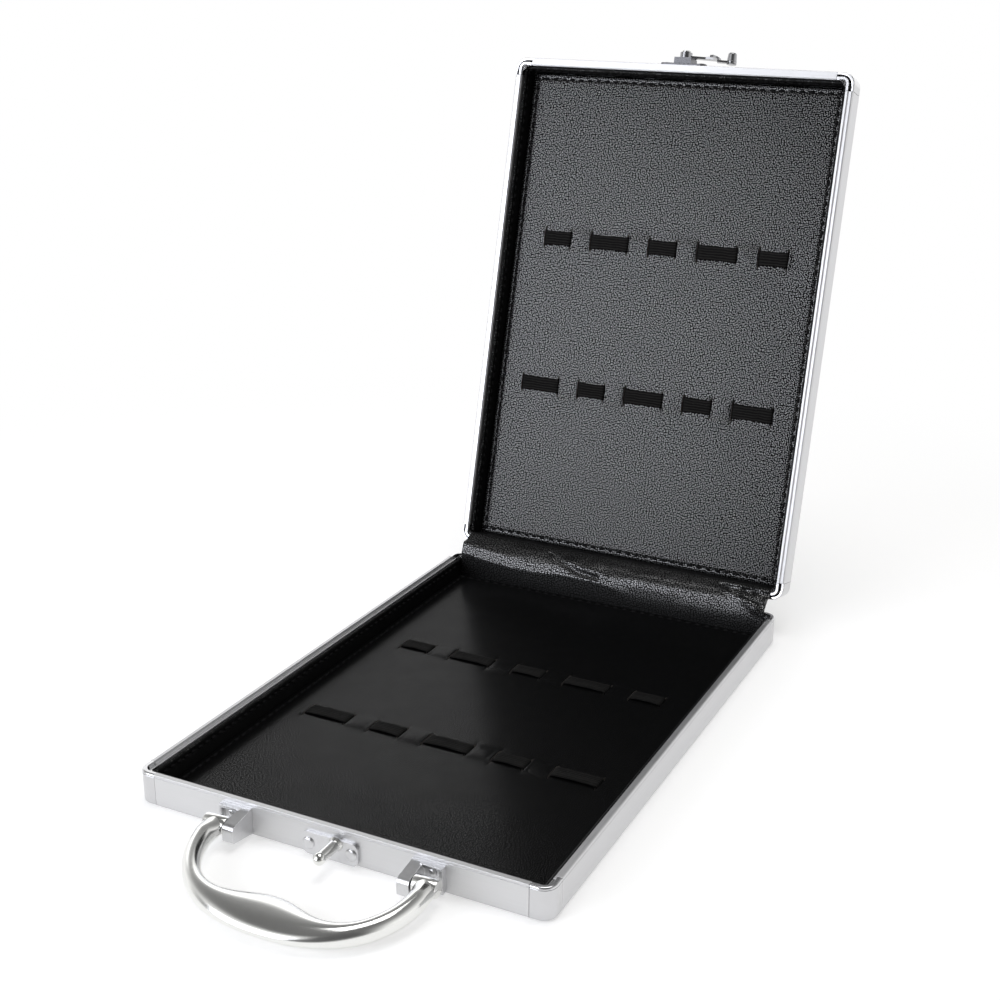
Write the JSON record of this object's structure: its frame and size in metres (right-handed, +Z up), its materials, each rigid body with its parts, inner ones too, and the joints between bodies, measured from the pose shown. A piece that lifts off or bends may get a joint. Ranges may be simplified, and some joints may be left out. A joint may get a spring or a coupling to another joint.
{
  "type": "scissor case",
  "caption": "Slim hinged carrying case, open, with aluminium frame, padded boards with elastic loops, bail handle and swing latch.",
  "frame": {"origin": "middle of the case's underside, in the plane that it stands on", "axes": "+X across the case to the right seen from the handle side, +Y from the handle side to the hinge side, +Z up"},
  "size_m": [0.21, 0.4636, 0.3197],
  "materials": {
    "frame_aluminium": "satin anodised",
    "corner_aluminium": "satin, pressed caps",
    "panel_aluminium": "satin sheet",
    "leatherette": "fine pebble grain, stitched edge",
    "elastic": "ribbed woven elastic",
    "chrome": "polished",
    "zinc_steel": "bright plated"
  },
  "bodies": {
    "base": {"base_front_rail": "frame_aluminium", "base_rear_rail": "frame_aluminium", "base_left_rail": "frame_aluminium", "base_right_rail": "frame_aluminium", "base_corner_front_left": "corner_aluminium", "base_corner_front_right": "corner_aluminium", "base_corner_rear_left": "corner_aluminium", "base_corner_rear_right": "corner_aluminium", "base_panel": "panel_aluminium", "base_liner": "leatherette", "base_insert_board": "leatherette", "base_elastic_front": "elastic", "base_elastic_rear": "elastic", "base_corner_brackets": "zinc_steel", "handle_bracket_left": "chrome", "handle_bracket_right": "chrome", "handle_bracket_rivets": "zinc_steel", "handle_pin_left": "chrome", "handle_pin_right": "chrome", "catch_plate": "zinc_steel", "catch_post": "chrome", "catch_rivets": "zinc_steel", "hinge_base_leaf_left": "zinc_steel", "hinge_base_leaf_right": "zinc_steel", "hinge_pin_left": "zinc_steel", "hinge_pin_right": "zinc_steel", "hinge_base_rivets": "zinc_steel", "hinge_gusset": "leatherette"},
    "lid": {"lid_front_rail": "frame_aluminium", "lid_rear_rail": "frame_aluminium", "lid_left_rail": "frame_aluminium", "lid_right_rail": "frame_aluminium", "lid_corner_front_left": "corner_aluminium", "lid_corner_front_right": "corner_aluminium", "lid_corner_rear_left": "corner_aluminium", "lid_corner_rear_right": "corner_aluminium", "lid_panel": "panel_aluminium", "lid_liner": "leatherette", "lid_insert_board": "leatherette", "lid_elastic_front": "elastic", "lid_elastic_rear": "elastic", "lid_corner_brackets": "zinc_steel", "latch_plate": "zinc_steel", "latch_block": "zinc_steel", "latch_rivets": "zinc_steel", "latch_pivot_pin": "zinc_steel", "hinge_lid_leaf_left": "zinc_steel", "hinge_lid_leaf_right": "zinc_steel", "hinge_lid_rivets": "zinc_steel"},
    "handle": {"handle": "chrome"},
    "latch": {"latch_arm": "chrome", "latch_knob": "chrome"}
  },
  "joints": [
    {"name": "lid_hinge", "type": "hinge", "parent": "base", "child": "lid", "pos_m": [0, 0.155, 0.01665], "axis": [1, 0, 0], "range_deg": [0, 104.5], "deforming": ["hinge_gusset"]},
    {"name": "handle_swing", "type": "hinge", "parent": "base", "child": "handle", "pos_m": [0, -0.1596, 0.0087], "axis": [1, 0, 0], "range_deg": [-100, 0]},
    {"name": "latch_swing", "type": "hinge", "parent": "lid", "child": "latch", "pos_m": [0.001, 0.23926, 0.30989], "axis": [0, -0.2504, -0.9681], "range_deg": [0, 67]}
  ]
}
